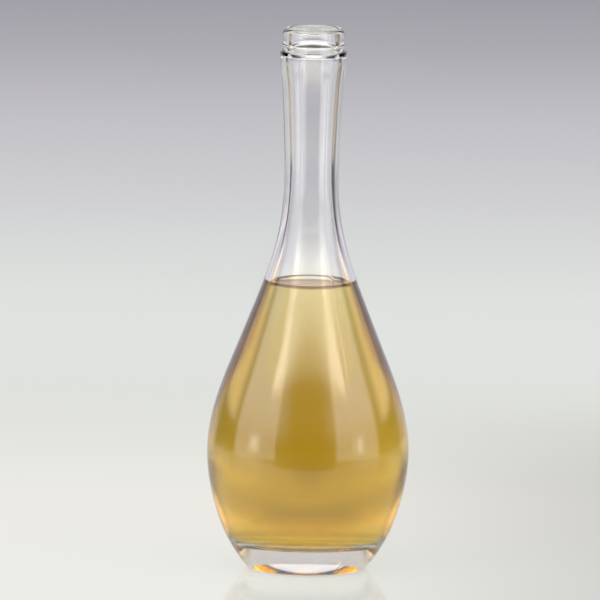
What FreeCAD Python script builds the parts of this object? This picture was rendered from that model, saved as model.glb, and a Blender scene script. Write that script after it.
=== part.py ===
import FreeCAD, Part
import math
import os

# A clear glass bottle with a teardrop body, a long narrow neck and a rounded lip, filled with
# drink up to the foot of the neck. Everything is turned about the Z axis, the bottle stands on
# the plane z = 0, and all sizes are millimetres. Outlines are drawn in the XZ plane, x > 0.

# Driving sizes: overall
overall_height = 245.0
body_radius = 45.5
belly_height = 52.5      # height of the widest place
waist_radius = 12.35     # narrowest place of the neck
waist_height = 184.0
fill_level = 130.5       # height of the drink's surface

# Driving sizes: foot and base
foot_radius = 25.6       # outer edge of the ring that the bottle stands on
foot_ring_width = 3.6
heel_radius = 2.2        # rounding between the standing ring and the body
heel_angle = 50.0        # degrees above the horizontal at which the body leaves the heel
recess_depth = 1.4       # hollow under the base
base_thickness = 13.3
floor_rise = 8.0         # height over which the inside wall rounds into the inside floor

# Driving sizes: walls and bore
body_wall = 2.4
neck_wall = 3.2
neck_foot_height = 138.0 # the wall thickens from here up to the waist
mouth_radius = 10.1      # bore through the lip
mouth_depth = 11.0       # how far down the bore of the mouth reaches
mouth_step = 1.6         # height over which the mouth widens to the bore of the neck

# Driving sizes: finish, the part of the neck that takes a closure
lip_radius = 13.95
lip_height = 7.8
lip_undercut = 0.6       # rise of the lip's underside from the groove to its edge
mouth_round = 1.3
groove_radius = 12.8
groove_height = 1.2
collar_radius = 14.9
collar_height = 6.0
collar_slope = 1.0       # height of the sloped top of the collar
edge_round = 0.8         # rounding of the collar's upper edge and the lip's lower edge
groove_round = 0.42      # roundings inside the groove

# Places along the outline, as (share of the rise, share of the change in radius)
lower_body_points = [(0.22, 0.43), (0.565, 0.815)]
shoulder_points = [(0.18, 0.11), (0.36, 0.375), (0.545, 0.666), (0.705, 0.882), (0.855, 0.981)]
neck_points = [(0.507, 0.32), (0.92, 0.845)]
neck_top_slope = 0.03    # outward lean of the neck where it runs into the collar
wall_samples = 24        # places at which the inside wall is offset from the outside

# Heights that follow from the sizes above
lip_bottom = overall_height - lip_height
groove_bottom = lip_bottom - groove_height
collar_top = groove_bottom - collar_slope
collar_bottom = collar_top - collar_height
heel_height = heel_radius * (1 - math.cos(math.radians(heel_angle)))
heel_edge_radius = foot_radius + heel_radius * math.sin(math.radians(heel_angle))


def point(radius, height):
    """A place in the drawing plane."""
    return FreeCAD.Vector(radius, 0, height)


def between(start, end, shares):
    """Places given as shares of the rise and of the change in radius from start to end."""
    return [
        point(start.x + radius_share * (end.x - start.x), start.z + rise_share * (end.z - start.z))
        for rise_share, radius_share in shares
    ]


def rounded_path(corners):
    """Edges of a polyline whose corners, given as (place, radius), are tangent arcs."""
    edges = []
    last = corners[0][0]
    for (before, _), (corner, radius), (after, _) in zip(corners, corners[1:], corners[2:]):
        towards = (before - corner).normalize()
        away = (after - corner).normalize()
        half_angle = towards.getAngle(away) / 2
        setback = radius / math.tan(half_angle)
        middle = (towards + away).normalize()
        arc_start = corner + towards * setback
        arc_end = corner + away * setback
        arc_middle = corner + middle * (radius / math.sin(half_angle) - radius)
        if last.distanceToPoint(arc_start) > 1e-6:
            edges.append(Part.LineSegment(last, arc_start).toShape())
        edges.append(Part.Arc(arc_start, arc_middle, arc_end).toShape())
        last = arc_end
    if last.distanceToPoint(corners[-1][0]) > 1e-6:
        edges.append(Part.LineSegment(last, corners[-1][0]).toShape())
    return edges


def rising_curve(places, **end_tangents):
    """Smooth curve through the places, with the height as its parameter."""
    heights = [place.z for place in places]
    curve = Part.BSplineCurve()
    curve.interpolate(Points=places, Parameters=heights, Scale=False, **end_tangents)
    return curve


def outer_wall():
    """Outside of the body and neck, from the heel to the bottom of the collar."""
    heel = point(heel_edge_radius, heel_height)
    belly = point(body_radius, belly_height)
    waist = point(waist_radius, waist_height)
    top = point(collar_radius, collar_bottom)
    places = [heel]
    places += between(heel, belly, lower_body_points)
    places += [belly]
    places += between(belly, waist, shoulder_points)
    places += [waist]
    places += between(waist, top, neck_points)
    places += [top]
    leaving_heel = point(1 / math.tan(math.radians(heel_angle)), 1)
    reaching_top = point(neck_top_slope, 1)
    return rising_curve(places, InitialTangent=leaving_heel, FinalTangent=reaching_top)


def wall_at(height):
    """Glass thickness at a height: the body's up to the neck's foot, then growing to the neck's."""
    share = (height - neck_foot_height) / (waist_height - neck_foot_height)
    return body_wall + min(max(share, 0.0), 1.0) * (neck_wall - body_wall)


def inner_wall(outer, first_height, last_height):
    """Inside of the body and neck: the outside moved in by the wall, square to the surface."""
    places = []
    for index in range(wall_samples + 1):
        height = first_height + (last_height - first_height) * index / wall_samples
        place = outer.value(height)
        along = outer.tangent(height)[0]
        inwards = point(-along.z, along.x)
        places.append(place + inwards * wall_at(height))
    return rising_curve(places)


def floor_edges(wall):
    """Inside floor from the axis, and the rounding that runs into the foot of the wall curve."""
    foot = wall.value(wall.FirstParameter)
    along = wall.tangent(wall.FirstParameter)[0]
    slope = math.atan2(along.z, along.x)
    setback = (foot.z - base_thickness) / math.sin(slope)
    corner = point(foot.x - setback * math.cos(slope), base_thickness)
    arc_start = corner - point(setback, 0)
    bisector = (point(-1, 0) + along).normalize()
    arc_radius = setback / math.tan(slope / 2)
    arc_middle = corner + bisector * (arc_radius / math.cos(slope / 2) - arc_radius)
    floor = Part.LineSegment(point(0, base_thickness), arc_start).toShape()
    return [floor, Part.Arc(arc_start, arc_middle, foot).toShape()]


def turn(edges):
    """Solid made by turning a closed outline once about the Z axis."""
    face = Part.Face(Part.Wire(Part.sortEdges(edges)[0]))
    solid = face.revolve(FreeCAD.Vector(0, 0, 0), FreeCAD.Vector(0, 0, 1), 360)
    return solid if solid.ShapeType == "Solid" else Part.Solid(solid)


def underside():
    """Recess, standing ring and heel, from the axis out to the foot of the outer wall."""
    ring_inner = foot_radius - foot_ring_width
    crown = (ring_inner ** 2 + recess_depth ** 2) / (2 * recess_depth)
    half_way = ring_inner / 2
    half_rise = recess_depth - crown + math.sqrt(crown ** 2 - half_way ** 2)
    recess = Part.Arc(point(0, recess_depth), point(half_way, half_rise), point(ring_inner, 0))
    ring = Part.LineSegment(point(ring_inner, 0), point(foot_radius, 0))
    half = math.radians(heel_angle / 2)
    heel_middle = point(foot_radius + heel_radius * math.sin(half), heel_radius * (1 - math.cos(half)))
    heel = Part.Arc(point(foot_radius, 0), heel_middle, point(heel_edge_radius, heel_height))
    return [recess.toShape(), ring.toShape(), heel.toShape()]


def finish(bore_top):
    """Collar, groove, lip and mouth, from the collar's bottom over to the top of the bore."""
    mouth_bottom = overall_height - mouth_depth
    lip_round = lip_radius - mouth_radius - mouth_round
    return rounded_path([
        (point(collar_radius, collar_bottom), 0),
        (point(collar_radius, collar_top), edge_round),
        (point(groove_radius, groove_bottom), groove_round),
        (point(groove_radius, lip_bottom - lip_undercut), groove_round),
        (point(lip_radius, lip_bottom), edge_round),
        (point(lip_radius, overall_height), lip_round),
        (point(mouth_radius, overall_height), mouth_round),
        (point(mouth_radius, mouth_bottom), mouth_step / 2),
        (point(bore_top.x, mouth_bottom - mouth_step), mouth_step / 2),
        (bore_top, 0),
    ])


def bottle(outer, inner):
    """The whole glass bottle as one turned solid."""
    bore_top = inner.value(inner.LastParameter)
    edges = underside() + [outer.toShape()] + finish(bore_top)
    edges += [inner.toShape()] + floor_edges(inner)
    edges.append(Part.LineSegment(point(0, base_thickness), point(0, recess_depth)).toShape())
    return turn(edges)


def drink(inner):
    """The drink: it fills the inside from the floor up to the fill level."""
    bore_top = inner.value(inner.LastParameter)
    edges = floor_edges(inner) + [inner.toShape()]
    edges.append(Part.LineSegment(bore_top, point(0, bore_top.z)).toShape())
    edges.append(Part.LineSegment(point(0, bore_top.z), point(0, base_thickness)).toShape())
    below_level = Part.makeCylinder(2 * body_radius, fill_level)
    return turn(edges).common(below_level).Solids[0]


def main():
    os.makedirs("parts", exist_ok=True)
    outer = outer_wall()
    inner = inner_wall(outer, base_thickness + floor_rise, collar_bottom)
    pieces = {"glass_bottle": bottle(outer, inner), "drink": drink(inner)}
    for name, shape in pieces.items():
        shape.exportStep("parts/" + name + ".step")
        print(name, shape.isValid(), shape.ShapeType, round(shape.Volume), "mm3")


main()
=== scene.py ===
"""A clear glass bottle, filled with pale amber drink, on a pale tabletop."""
import math

import bmesh
import bpy
import numpy as np
from mathutils import Matrix, Vector


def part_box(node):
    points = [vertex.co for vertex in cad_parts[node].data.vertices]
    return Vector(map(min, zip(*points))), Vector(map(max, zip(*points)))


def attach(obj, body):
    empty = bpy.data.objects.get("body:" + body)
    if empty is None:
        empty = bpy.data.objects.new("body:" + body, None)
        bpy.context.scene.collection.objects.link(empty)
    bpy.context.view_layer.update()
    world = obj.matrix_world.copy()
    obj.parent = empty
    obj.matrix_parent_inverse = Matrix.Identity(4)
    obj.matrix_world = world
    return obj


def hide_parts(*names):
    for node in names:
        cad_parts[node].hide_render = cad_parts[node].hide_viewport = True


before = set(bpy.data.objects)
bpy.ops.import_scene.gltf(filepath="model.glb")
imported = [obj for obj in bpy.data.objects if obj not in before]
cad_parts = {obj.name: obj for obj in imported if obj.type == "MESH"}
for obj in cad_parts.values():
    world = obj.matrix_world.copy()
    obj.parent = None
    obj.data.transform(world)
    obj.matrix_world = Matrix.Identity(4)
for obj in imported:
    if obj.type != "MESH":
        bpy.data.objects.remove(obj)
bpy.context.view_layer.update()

MM = 0.001

# ---- Sizes read from the frame -------------------------------------------------------------
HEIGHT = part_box("glass_bottle")[1][2]
BODY_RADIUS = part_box("glass_bottle")[1][0]
FLOOR_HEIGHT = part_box("drink")[0][2]
FILL_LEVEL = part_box("drink")[1][2]

# ---- Sizes of the bottle's outline ---------------------------------------------------------
BELLY_HEIGHT = 52.5 * MM
WAIST_RADIUS = 12.35 * MM
WAIST_HEIGHT = 184.0 * MM
FOOT_RADIUS = 25.6 * MM
FOOT_RING_WIDTH = 3.6 * MM
HEEL_RADIUS = 2.2 * MM
HEEL_ANGLE = math.radians(50)
RECESS_DEPTH = 1.4 * MM
FLOOR_RISE = 8.0 * MM
BODY_WALL = 2.4 * MM
NECK_WALL = 3.2 * MM
NECK_FOOT_HEIGHT = 138.0 * MM
MOUTH_RADIUS = 10.1 * MM
MOUTH_DEPTH = 11.0 * MM
MOUTH_STEP = 1.6 * MM
LIP_RADIUS = 13.95 * MM
LIP_HEIGHT = 7.8 * MM
LIP_UNDERCUT = 0.6 * MM
MOUTH_ROUND = 1.9 * MM
GROOVE_RADIUS = 12.8 * MM
GROOVE_HEIGHT = 1.2 * MM
COLLAR_RADIUS = 14.9 * MM
COLLAR_HEIGHT = 6.0 * MM
COLLAR_SLOPE = 1.0 * MM
LIP_ROUND_SHARE = 0.999       # share of the lip's flat top that its outer rounding takes
EDGE_ROUND = 0.8 * MM
GROOVE_ROUND = 0.42 * MM
# Places on the outline, as shares of the rise and of the change in radius along its run.
LOWER_BODY_POINTS = [(0.22, 0.43), (0.565, 0.815)]
SHOULDER_POINTS = [(0.18, 0.11), (0.36, 0.375), (0.545, 0.666), (0.705, 0.882), (0.855, 0.981)]
NECK_POINTS = [(0.507, 0.32), (0.92, 0.845)]
NECK_TOP_SLOPE = 0.03         # change of radius with height at the neck's top
WALL_SAMPLES = 24             # places where the wall's thickness is set

LIP_BOTTOM = HEIGHT - LIP_HEIGHT
GROOVE_BOTTOM = LIP_BOTTOM - GROOVE_HEIGHT
COLLAR_TOP = GROOVE_BOTTOM - COLLAR_SLOPE
COLLAR_BOTTOM = COLLAR_TOP - COLLAR_HEIGHT
HEEL_HEIGHT = HEEL_RADIUS * (1 - math.cos(HEEL_ANGLE))
HEEL_EDGE_RADIUS = FOOT_RADIUS + HEEL_RADIUS * math.sin(HEEL_ANGLE)
SEAM_TOP = LIP_BOTTOM - LIP_HEIGHT

# ---- Sizes of the looks --------------------------------------------------------------------
COLUMNS = 180                 # columns of faces round the bottle
OUTLINE_STEP = 1.7 * MM       # spacing of the rings of faces
ON_AXIS = 1e-7                # a smaller radius than this counts as the axis
SLOPE_STEP = 0.01 * MM        # rise over which a wall's slope is measured
RECESS_STEPS = 10             # rings across the recess
HEEL_STEPS = 6                # rings round the heel
FLOOR_STEPS = 8               # rings across the inside floor
FLOOR_ROUND_STEPS = 14        # rings round the inside floor's edge
EDGE_STEPS = 8                # rings round an edge of the finish
LIP_STEPS = 16                # rings round the lip's outer edge
GROOVE_STEPS = 6              # rings round a corner of the groove or of the mouth's step
SURFACE_STEPS = 35            # rings across the drink's surface
SURFACE_REACH = 0.98          # share of the surface's radius that those rings cover
SURFACE_CROWDING = 1.7        # how much closer the surface's rings are at the glass

SEAM_ANGLES = (math.radians(-61), math.radians(119))
SEAM_HEIGHT = 0.09 * MM
SEAM_WIDTH = 0.28 * MM
SEAM_OFFSETS = (-3, -1.5, -0.7, 0, 0.7, 1.5, 3)   # columns at a seam, in seam widths
SEAM_CLEARING = 0.8           # columns left out beside a seam, in column spacings

WAVE_HEIGHT = 0.030 * MM      # unevenness of the inside wall
WAVES = (                     # size, waves round, start, waves up in radians per metre
    (1.0, 3, 1.0, 9),
    (0.7, 7, 2.0, -14),
    (0.5, 13, 0.5, 22),
)
WAVE_RADIUS = 10 * MM         # the waves die out within this radius
WAVE_RISE = 20 * MM           # and grow over this height from the floor

LIQUID_REACH = 0.12 * MM      # how far the drink's piece reaches into the wall
MENISCUS_HEIGHT = 2.3 * MM    # rise of the drink's surface close to the glass
MENISCUS_DECAY = 0.9 * MM     # distance over which that rise dies out
BOWL_DEPTH = 0.15 * MM        # slight hollow of the rest of the surface
SURFACE_LOWEST = FILL_LEVEL - MENISCUS_HEIGHT - BOWL_DEPTH
HAZE = 0.15                   # blur of what is seen through the drink
HAZE_FADE = (SURFACE_LOWEST - 4 * MM, SURFACE_LOWEST - 1 * MM, HAZE, 0.0)

GLASS_IOR = 1.5
GLASS_WAVE_SCALE = 60
GLASS_BUMP_STRENGTH = 0.02
GLASS_BUMP_DISTANCE = 0.002
DRINK_IOR = 1.33
DRINK_COLOUR = (0.89, 0.755, 0.02, 1)
DRINK_DENSITY = 46.0

# ---- Camera --------------------------------------------------------------------------------
CAMERA_ELEVATION = math.radians(8.4)
CAMERA_DISTANCE = 5.0
CAMERA_ROLL = math.radians(0.83)
CAMERA_SENSOR = 36
CAMERA_CLIP_END = 100
FRAME_WIDTH = 0.270           # width of the view at the bottle
AIM_HEIGHT = 121.6 * MM
AIM_SIDE = -4.5 * MM

# ---- Table ---------------------------------------------------------------------------------
# Ranges are (low, high), or (low, high, value at low, value at high). Distances are in metres.
TABLE_HALF_WIDTH = 30
TABLE_BASE = (0.08, 0.08, 0.08, 1)
TABLE_ROUGHNESS = 0.05
TABLE_SPECULAR = 0.03
SWEEP_DEPTH = 3.0             # distance over which the tones run
SWEEP_TONES = (               # distance behind the bottle, tone of the table there, mostly painted light fading with distance
    (0.00, (0.55, 0.55, 0.51, 1)),
    (0.18, (0.54, 0.53, 0.48, 1)),
    (0.40, (0.48, 0.49, 0.45, 1)),
    (0.66, (0.48, 0.50, 0.47, 1)),
    (0.83, (0.46, 0.48, 0.45, 1)),
    (1.02, (0.40, 0.41, 0.40, 1)),
    (1.22, (0.33, 0.33, 0.34, 1)),
    (1.44, (0.26, 0.26, 0.28, 1)),
    (1.66, (0.19, 0.18, 0.21, 1)),
    (1.91, (0.09, 0.08, 0.11, 1)),
    (2.17, (0.02, 0.01, 0.04, 1)),
    (2.23, (0.05, 0.05, 0.06, 1)),
    (2.33, (0.55, 0.54, 0.56, 1)),
    (3.00, (0.55, 0.54, 0.56, 1)),
)
SIDE_TONE = (0.30, 0.30, 0.31, 1)
SIDE_FADE = (0.5, 1.2)
# Painted shadow of the bottle: a darker, faintly warm streak on the table behind it.
SHADOW_STREAK_TONE = (0.74, 0.73, 0.66, 1)
SHADOW_STREAK_SPREAD = 0.025         # narrowing of the streak with distance
SHADOW_STREAK_HALF_WIDTH = (0.032, 0.054, 1.0, 0.0)
SHADOW_STREAK_START = (0.32, 0.42)
SHADOW_STREAK_END = (0.80, 1.10, 1.0, 0.0)
# Painted contact shadow under the bottle's foot.
CONTACT_SHADOW_TONE = (0.45, 0.47, 0.30, 1)
CONTACT_SHADOW_RADIUS = (0.020, 0.026, 1.0, 0.0)
# Painted light in the table's glow: a lit wedge behind the bottle, a pool round it, dimmer to the
# right.
WEDGE_TURN = 0.12             # how far the lit wedge is turned to the left
WEDGE_EDGE = (0.70, 0.84)     # cosine of the angle from straight behind the bottle
POOL_EDGE = (0.55, 0.95, 1.0, 0.0)
POOL_FRONT = (-0.30, -0.27)
UNLIT_STRENGTH = 0.06
RIGHT_DIMMING = (-0.05, 0.22, 1.05, 0.62)
EVEN_START = (0.22, 0.56)
EVEN_STRENGTH = 0.97

# ---- Light from the room -------------------------------------------------------------------
# Ranges as above, over the parts X, Y and Z of the direction that the light comes from.
BACK_Y = (0.60, 0.80)
BACK_Z = (0.095, 0.125, 0.65, 0.88)
BACK_TOP = (0.60, 0.67, 1.0, 0.12)
CEILING_Z = (0.58, 0.78, 0.0, 3.4)
CEILING_Y = (-0.2, 0.2, 1.0, 0.1)
CEILING_ASIDE = (0.40, 0.70, 1.0, 0.35)
GLARE_Z = (0.44, 0.52, 0.0, 0.95)
GLARE_TOP = (0.60, 0.67, 1.0, 0.0)
GLARE_Y = (0.45, 0.60)
GLARE_ASIDE = (0.30, 0.50, 1.0, 0.0)
PANEL_ASIDE = (0.60, 0.82)
PANEL_Z = (0.10, 0.19)
PANEL_Y = (0.05, 0.35)
PANEL_TOP = (0.44, 0.60, 1.0, 0.0)
PANEL_BRIGHTNESS = 2.5
PANEL_COLOUR = (1.0, 0.74, 0.40, 1)
ROOM_Z = (0.02, 0.40, 0.10, 1.0)
ROOM_Y = (-0.1, 0.3, 1.0, 0.15)
ROOM_ASIDE = (0.25, 0.60, 0.15, 1.0)
LOW_COLOUR = (1.0, 0.96, 1.04, 1)
HIGH_COLOUR = (0.97, 0.97, 1.0, 1)
COLOUR_Z = (0.09, 0.13)

# ---- Soft lights ---------------------------------------------------------------------------
WHITE = (1, 1, 1)
WARM = (1.0, 0.86, 0.58)
LIGHT_SIDES = (("left", math.radians(-64)), ("right", math.radians(60)))
# Each light is its distance, width, height, bottom, radiance and colour.
SIDE_BOX = (0.6, 0.62, 0.395, 0.0, 1.15, WHITE)
SIDE_SPOTS = (
    ("warm_", (0.6, 0.62, 0.13, 0.395, 1.8, WARM)),
    ("lamp_", (0.58, 0.16, 0.12, 0.03, 0.8, WHITE)),
    ("lamp_core_", (0.57, 0.08, 0.07, 0.055, 1.2, WHITE)),
)
BROW_DISTANCE = 0.20
BROW_WIDTH = 0.50
BROW_COLOUR = (0.97, 0.90, 0.74)
BROW_STEPS = (                # bottom of each strip and its radiance; the last row is the top
    (0.198, 0.25), (0.202, 0.4), (0.206, 0.6), (0.210, 0.85), (0.214, 1.1), (0.218, 1.4),
    (0.222, 1.75), (0.226, 2.1), (0.230, 2.5), (0.234, 2.9), (0.238, 3.3), (0.268, 1.9),
    (0.310, 0.0),
)


# ---- Outline -------------------------------------------------------------------------------
def cubic(places, first_slope=None, last_slope=None):
    """Smooth radius as a function of height through (radius, height) places."""
    radius = np.array([place[0] for place in places])
    height = np.array([place[1] for place in places])
    count = len(places)
    gap = np.diff(height)
    rise = np.diff(radius) / gap
    matrix = np.zeros((count, count))
    right = np.zeros(count)
    for i in range(1, count - 1):
        matrix[i, i - 1] = gap[i]
        matrix[i, i] = 2 * (gap[i - 1] + gap[i])
        matrix[i, i + 1] = gap[i - 1]
        right[i] = 3 * (gap[i] * rise[i - 1] + gap[i - 1] * rise[i])
    matrix[0, 0] = 1 if first_slope is not None else 2
    matrix[0, 1] = 0 if first_slope is not None else 1
    right[0] = first_slope if first_slope is not None else 3 * rise[0]
    matrix[-1, -1] = 1 if last_slope is not None else 2
    matrix[-1, -2] = 0 if last_slope is not None else 1
    right[-1] = last_slope if last_slope is not None else 3 * rise[-1]
    slope = np.linalg.solve(matrix, right)

    def value(z):
        i = int(min(max(np.searchsorted(height, z) - 1, 0), count - 2))
        t = (z - height[i]) / gap[i]
        a = slope[i] * gap[i] - (radius[i + 1] - radius[i])
        b = -slope[i + 1] * gap[i] + (radius[i + 1] - radius[i])
        return (1 - t) * radius[i] + t * radius[i + 1] + t * (1 - t) * ((1 - t) * a + t * b)

    return value


def between(start, end, shares):
    """Places at shares of the rise and of the change in radius from start to end."""
    return [
        (start[0] + radius_share * (end[0] - start[0]), start[1] + rise_share * (end[1] - start[1]))
        for rise_share, radius_share in shares
    ]


def outer_wall():
    """Outside radius of the body and neck by height."""
    heel = (HEEL_EDGE_RADIUS, HEEL_HEIGHT)
    belly = (BODY_RADIUS, BELLY_HEIGHT)
    waist = (WAIST_RADIUS, WAIST_HEIGHT)
    top = (COLLAR_RADIUS, COLLAR_BOTTOM)
    places = [heel] + between(heel, belly, LOWER_BODY_POINTS) + [belly]
    places += between(belly, waist, SHOULDER_POINTS) + [waist]
    places += between(waist, top, NECK_POINTS) + [top]
    return cubic(places, 1 / math.tan(HEEL_ANGLE), NECK_TOP_SLOPE)


def inner_wall(outer):
    """Inside radius by height: the outside moved in by the wall, square to the surface."""
    first = FLOOR_HEIGHT + FLOOR_RISE
    places = []
    for i in range(WALL_SAMPLES + 1):
        z = first + (COLLAR_BOTTOM - first) * i / WALL_SAMPLES
        share = (z - NECK_FOOT_HEIGHT) / (WAIST_HEIGHT - NECK_FOOT_HEIGHT)
        wall = BODY_WALL + min(max(share, 0), 1) * (NECK_WALL - BODY_WALL)
        slope = (outer(z + SLOPE_STEP) - outer(z - SLOPE_STEP)) / (2 * SLOPE_STEP)
        length = math.hypot(1, slope)
        places.append((outer(z) - wall / length, z + wall * slope / length))
    return cubic(places), places[0], places[-1]


def arc(before, corner, after, radius, steps):
    """Places on the rounding of a corner between two straight runs."""
    corner = Vector(corner)
    towards = (Vector(before) - corner).normalized()
    away = (Vector(after) - corner).normalized()
    half = towards.angle(away) / 2
    middle = corner + (towards + away).normalized() * radius / math.sin(half)
    start = corner + towards * radius / math.tan(half) - middle
    end = corner + away * radius / math.tan(half) - middle
    turn = start.angle(end)
    places = []
    for i in range(steps + 1):
        share = i / steps
        spoke = start * math.sin((1 - share) * turn) + end * math.sin(share * turn)
        places.append(tuple(middle + spoke / math.sin(turn)))
    return places


def rounded(corners):
    """Places along a polyline whose corners, given as (place, radius, steps), are rounded."""
    places = [corners[0][0]]
    for before, corner, after in zip(corners, corners[1:], corners[2:]):
        places += arc(before[0], corner[0], after[0], corner[1], corner[2])
    places.append(corners[-1][0])
    return places


def finish(bore_top):
    """Collar, groove, lip and mouth, from the collar's bottom over to the top of the bore."""
    mouth_bottom = HEIGHT - MOUTH_DEPTH
    lip_round = (LIP_RADIUS - MOUTH_RADIUS - MOUTH_ROUND) * LIP_ROUND_SHARE
    return rounded([
        ((COLLAR_RADIUS, COLLAR_BOTTOM), 0, 0),
        ((COLLAR_RADIUS, COLLAR_TOP), EDGE_ROUND, EDGE_STEPS),
        ((GROOVE_RADIUS, GROOVE_BOTTOM), GROOVE_ROUND, GROOVE_STEPS),
        ((GROOVE_RADIUS, LIP_BOTTOM - LIP_UNDERCUT), GROOVE_ROUND, GROOVE_STEPS),
        ((LIP_RADIUS, LIP_BOTTOM), EDGE_ROUND, EDGE_STEPS),
        ((LIP_RADIUS, HEIGHT), lip_round, LIP_STEPS),
        ((MOUTH_RADIUS, HEIGHT), MOUTH_ROUND, EDGE_STEPS),
        ((MOUTH_RADIUS, mouth_bottom), MOUTH_STEP / 2, GROOVE_STEPS),
        ((bore_top[0], mouth_bottom - MOUTH_STEP), MOUTH_STEP / 2, GROOVE_STEPS),
        (bore_top, 0, 0),
    ])


def rising(wall, first, last):
    """Evenly spaced places up a wall, both ends included."""
    count = max(2, round((last - first) / OUTLINE_STEP))
    return [(wall(first + (last - first) * i / count), first + (last - first) * i / count)
            for i in range(count + 1)]


def underside():
    """Recess, standing ring and heel, from the axis outwards."""
    ring_inner = FOOT_RADIUS - FOOT_RING_WIDTH
    places = [(ring_inner * i / RECESS_STEPS, RECESS_DEPTH * (1 - (i / RECESS_STEPS) ** 2))
              for i in range(RECESS_STEPS)]
    places += [(ring_inner, 0.0), (FOOT_RADIUS, 0.0)]
    for i in range(1, HEEL_STEPS):
        angle = HEEL_ANGLE * i / HEEL_STEPS
        radius = FOOT_RADIUS + HEEL_RADIUS * math.sin(angle)
        places.append((radius, HEEL_RADIUS * (1 - math.cos(angle))))
    return places


def inside_floor(inner, foot):
    """Inside floor from the axis outwards, and its rounding up to the foot of the wall."""
    slope = math.atan2(SLOPE_STEP, inner(foot[1] + SLOPE_STEP) - inner(foot[1]))
    setback = (foot[1] - FLOOR_HEIGHT) / math.sin(slope)
    corner = (foot[0] - setback * math.cos(slope), FLOOR_HEIGHT)
    radius = setback / math.tan(slope / 2)
    start = corner[0] - setback
    places = [(start * i / FLOOR_STEPS, FLOOR_HEIGHT) for i in range(FLOOR_STEPS)]
    return places + arc((0, FLOOR_HEIGHT), corner, foot, radius, FLOOR_ROUND_STEPS)


# ---- Mesh building -------------------------------------------------------------------------
def columns():
    """Angles of the columns of faces, closer together beside the mould seams."""
    turn = 2 * math.pi
    angles = [turn * i / COLUMNS for i in range(COLUMNS)]
    clear = SEAM_CLEARING * turn / COLUMNS
    for seam in SEAM_ANGLES:
        angles = [a for a in angles if abs(math.remainder(a - seam, turn)) > clear]
        angles += [(seam + SEAM_WIDTH / BODY_RADIUS * k) % turn for k in SEAM_OFFSETS]
    return sorted(angles)


def turned(name, outline, relief=None):
    """Mesh piece made by turning an outline that starts and ends on the axis."""
    angles = columns()
    mesh = bmesh.new()
    rings = []
    for radius, height in outline:
        if radius < ON_AXIS:
            rings.append([mesh.verts.new((0, 0, height))])
            continue
        ring = []
        for angle in angles:
            r = radius + (relief(angle, radius, height) if relief else 0)
            ring.append(mesh.verts.new((r * math.cos(angle), r * math.sin(angle), height)))
        rings.append(ring)
    count = len(angles)
    for low, high in zip(rings, rings[1:]):
        for i in range(count):
            j = (i + 1) % count
            if len(low) == 1:
                mesh.faces.new((low[0], high[j], high[i]))
            elif len(high) == 1:
                mesh.faces.new((low[i], low[j], high[0]))
            else:
                mesh.faces.new((low[i], low[j], high[j], high[i]))
    bmesh.ops.recalc_face_normals(mesh, faces=mesh.faces)
    for face in mesh.faces:
        face.smooth = True
    data = bpy.data.meshes.new(name)
    mesh.to_mesh(data)
    mesh.free()
    piece = bpy.data.objects.new(name, data)
    bpy.context.scene.collection.objects.link(piece)
    return piece


def glass_piece():
    """The bottle, with its mould seams and the slight unevenness of a blown inside."""
    outer = outer_wall()
    inner, foot, bore_top = inner_wall(outer)
    outside = underside() + rising(outer, HEEL_HEIGHT, COLLAR_BOTTOM)
    inside = rising(inner, foot[1], bore_top[1])[::-1] + inside_floor(inner, foot)[::-1][1:]
    outline = outside + finish(bore_top)[1:-1] + inside
    inside_from = len(outside) + len(finish(bore_top)) - 2
    inside_places = set(outline[inside_from:])

    def relief(angle, radius, height):
        if (radius, height) in inside_places:
            share = min(1, radius / WAVE_RADIUS) * min(1, (height - FLOOR_HEIGHT) / WAVE_RISE)
            wave = sum(size * math.sin(turns * angle + start + climb * height)
                       for size, turns, start, climb in WAVES)
            return WAVE_HEIGHT * share * wave
        if HEEL_HEIGHT < height < SEAM_TOP:
            turn = min(abs(math.remainder(angle - seam, 2 * math.pi)) for seam in SEAM_ANGLES)
            return SEAM_HEIGHT * math.exp(-(turn * radius / SEAM_WIDTH) ** 2)
        return 0

    return turned("bottle_glass", outline, relief), inner, foot


def drink_piece(inner, foot):
    """The drink, reaching just into the wall, its surface drawn up to the level at the glass."""
    outline = [(r, z - LIQUID_REACH) for r, z in inside_floor(inner, foot)]
    outline += [(r + LIQUID_REACH, z) for r, z in rising(inner, foot[1], FILL_LEVEL)[1:]]
    edge = inner(FILL_LEVEL)
    for i in range(SURFACE_STEPS + 1):
        inset = edge * SURFACE_REACH * (i / SURFACE_STEPS) ** SURFACE_CROWDING
        rise = MENISCUS_HEIGHT * math.exp(-inset / MENISCUS_DECAY)
        rise += BOWL_DEPTH * (1 - inset / edge) ** 2
        outline.append((edge - inset, SURFACE_LOWEST + rise))
    outline.append((0, SURFACE_LOWEST))
    return turned("drink_liquid", outline)


# ---- Node helpers --------------------------------------------------------------------------
def new_material(name):
    """A material with its nodes, its links and its main shader."""
    material = bpy.data.materials.new(name)
    material.use_nodes = True
    nodes = material.node_tree.nodes
    return material, nodes, material.node_tree.links, nodes["Principled BSDF"]


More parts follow.
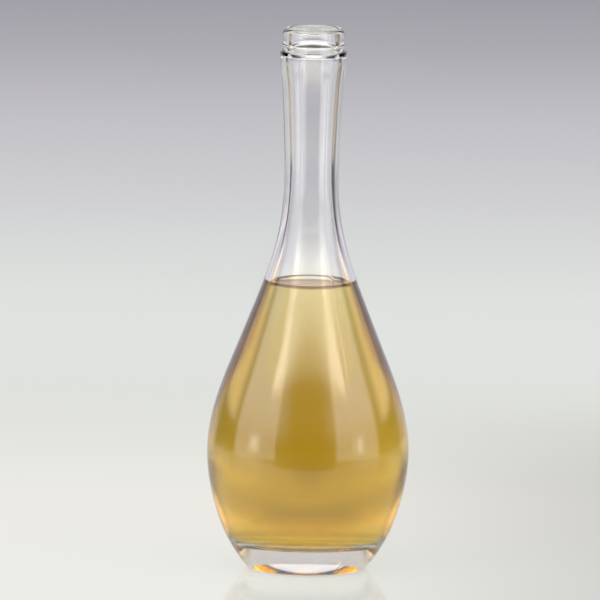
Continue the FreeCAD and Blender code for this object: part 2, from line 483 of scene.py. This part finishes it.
class Maths:
    """Sums and colour mixes done by the nodes of one node tree."""

    def __init__(self, nodes, links):
        self.nodes = nodes
        self.links = links

    def ranged(self, value, low, high, start=0.0, end=1.0):
        """Smooth change from start to end while the value goes from low to high."""
        node = self.nodes.new("ShaderNodeMapRange")
        node.interpolation_type = "SMOOTHSTEP"
        node.inputs["From Min"].default_value = low
        node.inputs["From Max"].default_value = high
        node.inputs["To Min"].default_value = start
        node.inputs["To Max"].default_value = end
        self.links.new(value, node.inputs["Value"])
        return node.outputs["Result"]

    def combined(self, operation, first, second):
        """Two values put together by a Math node."""
        node = self.nodes.new("ShaderNodeMath")
        node.operation = operation
        for socket, value in zip(node.inputs, (first, second)):
            if isinstance(value, (int, float)):
                socket.default_value = value
            else:
                self.links.new(value, socket)
        return node.outputs[0]

    def product(self, first, *others):
        """All the values multiplied."""
        for other in others:
            first = self.combined("MULTIPLY", first, other)
        return first

    def mixed(self, share, start, end, blend="MIX"):
        """Colour that goes from start to end, or is blended with end, as share goes from 0 to 1."""
        node = self.nodes.new("ShaderNodeMix")
        node.data_type = "RGBA"
        node.blend_type = blend
        colours = [socket for socket in node.inputs if socket.type == "RGBA"]
        for socket, colour in zip(colours, (start, end)):
            if isinstance(colour, tuple):
                socket.default_value = colour
            else:
                self.links.new(colour, socket)
        self.links.new(share, node.inputs[0])
        return [socket for socket in node.outputs if socket.type == "RGBA"][0]


# ---- Materials -----------------------------------------------------------------------------
def glass_material():
    """Clear soda-lime glass with a faint unevenness in its surface."""
    material, nodes, links, shader = new_material("clear_glass_look")
    shader.inputs["Base Color"].default_value = (1, 1, 1, 1)
    shader.inputs["Roughness"].default_value = 0.0
    shader.inputs["IOR"].default_value = GLASS_IOR
    shader.inputs["Transmission Weight"].default_value = 1.0
    place = nodes.new("ShaderNodeTexCoord")
    waves = nodes.new("ShaderNodeTexNoise")
    waves.inputs["Scale"].default_value = GLASS_WAVE_SCALE
    waves.inputs["Detail"].default_value = 1
    bump = nodes.new("ShaderNodeBump")
    bump.inputs["Strength"].default_value = GLASS_BUMP_STRENGTH
    bump.inputs["Distance"].default_value = GLASS_BUMP_DISTANCE
    links.new(place.outputs["Object"], waves.inputs["Vector"])
    links.new(waves.outputs["Fac"], bump.inputs["Height"])
    links.new(bump.outputs["Normal"], shader.inputs["Normal"])
    return material


def drink_material():
    """Slightly hazy pale amber liquid, coloured by its depth and clear at its surface."""
    material, nodes, links, shader = new_material("amber_drink_look")
    maths = Maths(nodes, links)
    shader.inputs["Base Color"].default_value = (1, 1, 1, 1)
    shader.inputs["Roughness"].default_value = 0.0
    shader.inputs["IOR"].default_value = DRINK_IOR
    shader.inputs["Transmission Weight"].default_value = 1.0
    place = nodes.new("ShaderNodeTexCoord")
    split = nodes.new("ShaderNodeSeparateXYZ")
    links.new(place.outputs["Object"], split.inputs["Vector"])
    links.new(maths.ranged(split.outputs["Z"], *HAZE_FADE), shader.inputs["Roughness"])
    volume = nodes.new("ShaderNodeVolumeAbsorption")
    volume.inputs["Color"].default_value = DRINK_COLOUR
    volume.inputs["Density"].default_value = DRINK_DENSITY
    links.new(volume.outputs["Volume"], nodes["Material Output"].inputs["Volume"])
    return material


# ---- Table ---------------------------------------------------------------------------------
def table_tones(maths, back):
    """Tone of the table by its distance behind the bottle, mostly painted light that fades with
    distance.
    """
    depth = maths.nodes.new("ShaderNodeMapRange")
    depth.inputs["From Max"].default_value = SWEEP_DEPTH
    maths.links.new(back, depth.inputs["Value"])
    ramp = maths.nodes.new("ShaderNodeValToRGB")
    stops = ramp.color_ramp.elements
    stops[0].color = SWEEP_TONES[0][1]
    stops[1].color = SWEEP_TONES[-1][1]
    for distance, colour in SWEEP_TONES[1:-1]:
        stops.new(distance / SWEEP_DEPTH).color = colour
    maths.links.new(depth.outputs["Result"], ramp.inputs["Fac"])
    return ramp.outputs["Color"]


def table_colour(maths, right, back, far):
    """The tones, plain grey far to the sides, with a painted shadow of the bottle as a darker
    streak behind it and a painted contact shadow under the foot.
    """
    aside = maths.combined("ABSOLUTE", right, 0)
    colour = table_tones(maths, back)
    colour = maths.mixed(maths.ranged(aside, *SIDE_FADE), colour, SIDE_TONE)
    # Painted shadow of the bottle, as a streak behind it.
    spread = maths.combined("ADD", aside, maths.combined("MULTIPLY", back, SHADOW_STREAK_SPREAD))
    shadow_streak = maths.product(maths.ranged(spread, *SHADOW_STREAK_HALF_WIDTH),
                           maths.ranged(back, *SHADOW_STREAK_START), maths.ranged(back, *SHADOW_STREAK_END))
    colour = maths.mixed(shadow_streak, colour, SHADOW_STREAK_TONE, "MULTIPLY")
    # Painted contact shadow under the foot.
    return maths.mixed(maths.ranged(far, *CONTACT_SHADOW_RADIUS), colour, CONTACT_SHADOW_TONE, "MULTIPLY")


def painted_table_glow(maths, right, back, far):
    """How brightly the table glows with painted light: in a wedge behind the bottle and a pool
    round it.

    Near the bottle the painted light is dimmer towards the right.
    """
    forward = maths.combined("DIVIDE", back, far)
    turned_by = maths.combined("MULTIPLY", maths.combined("DIVIDE", right, far), WEDGE_TURN)
    wedge = maths.ranged(maths.combined("SUBTRACT", forward, turned_by), *WEDGE_EDGE)
    pool = maths.product(maths.ranged(far, *POOL_EDGE), maths.ranged(back, *POOL_FRONT))
    lit = maths.combined("MAXIMUM", maths.combined("MAXIMUM", wedge, pool), UNLIT_STRENGTH)
    side = maths.ranged(right, *RIGHT_DIMMING)
    missing = maths.combined("SUBTRACT", EVEN_STRENGTH, side)
    evened = maths.product(missing, maths.ranged(back, *EVEN_START))
    return maths.product(lit, maths.combined("ADD", side, evened))


def sweep_material():
    """Faintly glossy tabletop, lit a little by the lamps, its light and shade mostly painted into
    its glow.
    """
    material, nodes, links, shader = new_material("sweep_look")
    maths = Maths(nodes, links)
    place = nodes.new("ShaderNodeTexCoord")
    split = nodes.new("ShaderNodeSeparateXYZ")
    links.new(place.outputs["Object"], split.inputs["Vector"])
    length = nodes.new("ShaderNodeVectorMath")
    length.operation = "LENGTH"
    links.new(place.outputs["Object"], length.inputs[0])
    where = split.outputs["X"], split.outputs["Y"], length.outputs["Value"]
    links.new(table_colour(maths, *where), shader.inputs["Emission Color"])
    links.new(painted_table_glow(maths, *where), shader.inputs["Emission Strength"])
    shader.inputs["Base Color"].default_value = TABLE_BASE
    shader.inputs["Roughness"].default_value = TABLE_ROUGHNESS
    shader.inputs["Specular IOR Level"].default_value = TABLE_SPECULAR
    return material


def sweep():
    """The wide tabletop that the bottle stands on, which also makes the background."""
    mesh = bmesh.new()
    bmesh.ops.create_grid(mesh, x_segments=2, y_segments=2, size=TABLE_HALF_WIDTH)
    data = bpy.data.meshes.new("sweep")
    mesh.to_mesh(data)
    mesh.free()
    table = bpy.data.objects.new("sweep", data)
    bpy.context.scene.collection.objects.link(table)
    table.data.materials.append(sweep_material())


# ---- Light from the room -------------------------------------------------------------------
def back_light(maths, y, z):
    """Pale light from behind, dimmer close to the table and high up."""
    return maths.product(maths.ranged(y, *BACK_Y), maths.ranged(z, *BACK_Z),
                         maths.ranged(z, *BACK_TOP))


def ceiling_light(maths, aside, y, z):
    """Bright light from high in front, and a weaker patch, lower down, from behind."""
    ceiling = maths.product(maths.ranged(z, *CEILING_Z), maths.ranged(y, *CEILING_Y),
                            maths.ranged(aside, *CEILING_ASIDE))
    glare = maths.product(maths.ranged(z, *GLARE_Z), maths.ranged(z, *GLARE_TOP),
                          maths.ranged(y, *GLARE_Y), maths.ranged(aside, *GLARE_ASIDE))
    return maths.combined("MAXIMUM", ceiling, glare)


def panel_share(maths, aside, y, z):
    """Where the warm panels are: low at each side, a little behind."""
    return maths.product(maths.ranged(aside, *PANEL_ASIDE), maths.ranged(z, *PANEL_Z),
                         maths.ranged(y, *PANEL_Y), maths.ranged(z, *PANEL_TOP))


def room_light(maths, aside, y, z):
    """Light from the rest of the room, most of it from high up at the front sides."""
    return maths.product(maths.ranged(z, *ROOM_Z), maths.ranged(y, *ROOM_Y),
                         maths.ranged(aside, *ROOM_ASIDE))


def surroundings():
    """The light that reaches the bottle from all round, apart from the soft lights."""
    world = bpy.data.worlds.new("surroundings")
    bpy.context.scene.world = world
    world.use_nodes = True
    nodes = world.node_tree.nodes
    links = world.node_tree.links
    maths = Maths(nodes, links)
    place = nodes.new("ShaderNodeTexCoord")
    split = nodes.new("ShaderNodeSeparateXYZ")
    links.new(place.outputs["Generated"], split.inputs["Vector"])
    aside = maths.combined("ABSOLUTE", split.outputs["X"], 0)
    y = split.outputs["Y"]
    z = split.outputs["Z"]
    panel = panel_share(maths, aside, y, z)
    light = maths.combined("MAXIMUM", back_light(maths, y, z), ceiling_light(maths, aside, y, z))
    light = maths.combined("MAXIMUM", light, maths.product(panel, PANEL_BRIGHTNESS))
    light = maths.combined("MAXIMUM", light, room_light(maths, aside, y, z))
    colour = maths.mixed(maths.ranged(z, *COLOUR_Z), LOW_COLOUR, HIGH_COLOUR)
    colour = maths.mixed(panel, colour, PANEL_COLOUR)
    links.new(light, nodes["Background"].inputs["Strength"])
    links.new(colour, nodes["Background"].inputs["Color"])


# ---- Soft lights and camera ----------------------------------------------------------------
def softbox(name, azimuth, distance, width, height, bottom, radiance, colour):
    """A soft light standing at an azimuth from the front, facing the bottle."""
    light = bpy.data.lights.new(name, "AREA")
    light.shape = "RECTANGLE"
    light.size = width
    light.size_y = height
    light.color = colour
    light.energy = radiance * math.pi * width * height
    lamp = bpy.data.objects.new(name, light)
    bpy.context.scene.collection.objects.link(lamp)
    x = distance * math.sin(azimuth)
    y = -distance * math.cos(azimuth)
    lamp.location = (x, y, bottom + height / 2)
    lamp.rotation_euler = Vector((x, y, 0)).to_track_quat("Z", "Y").to_euler()
    lamp.visible_camera = False


def lights():
    """Softboxes with a warm band above and a lamp before them, and a graded panel in front."""
    for side, azimuth in LIGHT_SIDES:
        softbox("softbox_" + side, azimuth, *SIDE_BOX)
    for side, azimuth in LIGHT_SIDES:
        for name, spot in SIDE_SPOTS:
            softbox(name + side, azimuth, *spot)
    for (bottom, radiance), (top, _) in zip(BROW_STEPS, BROW_STEPS[1:]):
        name = "brow_%d" % round(bottom / MM)
        softbox(name, 0.0, BROW_DISTANCE, BROW_WIDTH, top - bottom, bottom, radiance, BROW_COLOUR)


def camera():
    """The camera: nearly level, far away, turned a little about its own axis."""
    data = bpy.data.cameras.new("camera")
    data.sensor_width = CAMERA_SENSOR
    data.lens = CAMERA_SENSOR * CAMERA_DISTANCE / FRAME_WIDTH
    data.clip_end = CAMERA_CLIP_END
    eye = bpy.data.objects.new("camera", data)
    bpy.context.scene.collection.objects.link(eye)
    view = Vector((0, math.cos(CAMERA_ELEVATION), -math.sin(CAMERA_ELEVATION)))
    aim = Vector((AIM_SIDE, 0, AIM_HEIGHT))
    turn = view.to_track_quat("-Z", "Y").to_matrix().to_4x4() @ Matrix.Rotation(CAMERA_ROLL, 4, "Z")
    eye.matrix_world = Matrix.Translation(aim - view * CAMERA_DISTANCE) @ turn
    bpy.context.scene.camera = eye


def colour_management():
    """Plain colours, and enough bounces for glass within glass."""
    scene = bpy.context.scene
    scene.view_settings.view_transform = "Standard"
    scene.cycles.max_bounces = 24
    scene.cycles.transmission_bounces = 20
    scene.cycles.transparent_max_bounces = 16


# ---- Putting it together -------------------------------------------------------------------
glass, inner, foot = glass_piece()
glass.data.materials.append(glass_material())
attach(glass, "root")
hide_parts("glass_bottle")

drink = drink_piece(inner, foot)
drink.data.materials.append(drink_material())
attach(drink, "root")
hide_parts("drink")

sweep()
surroundings()
lights()
camera()
colour_management()
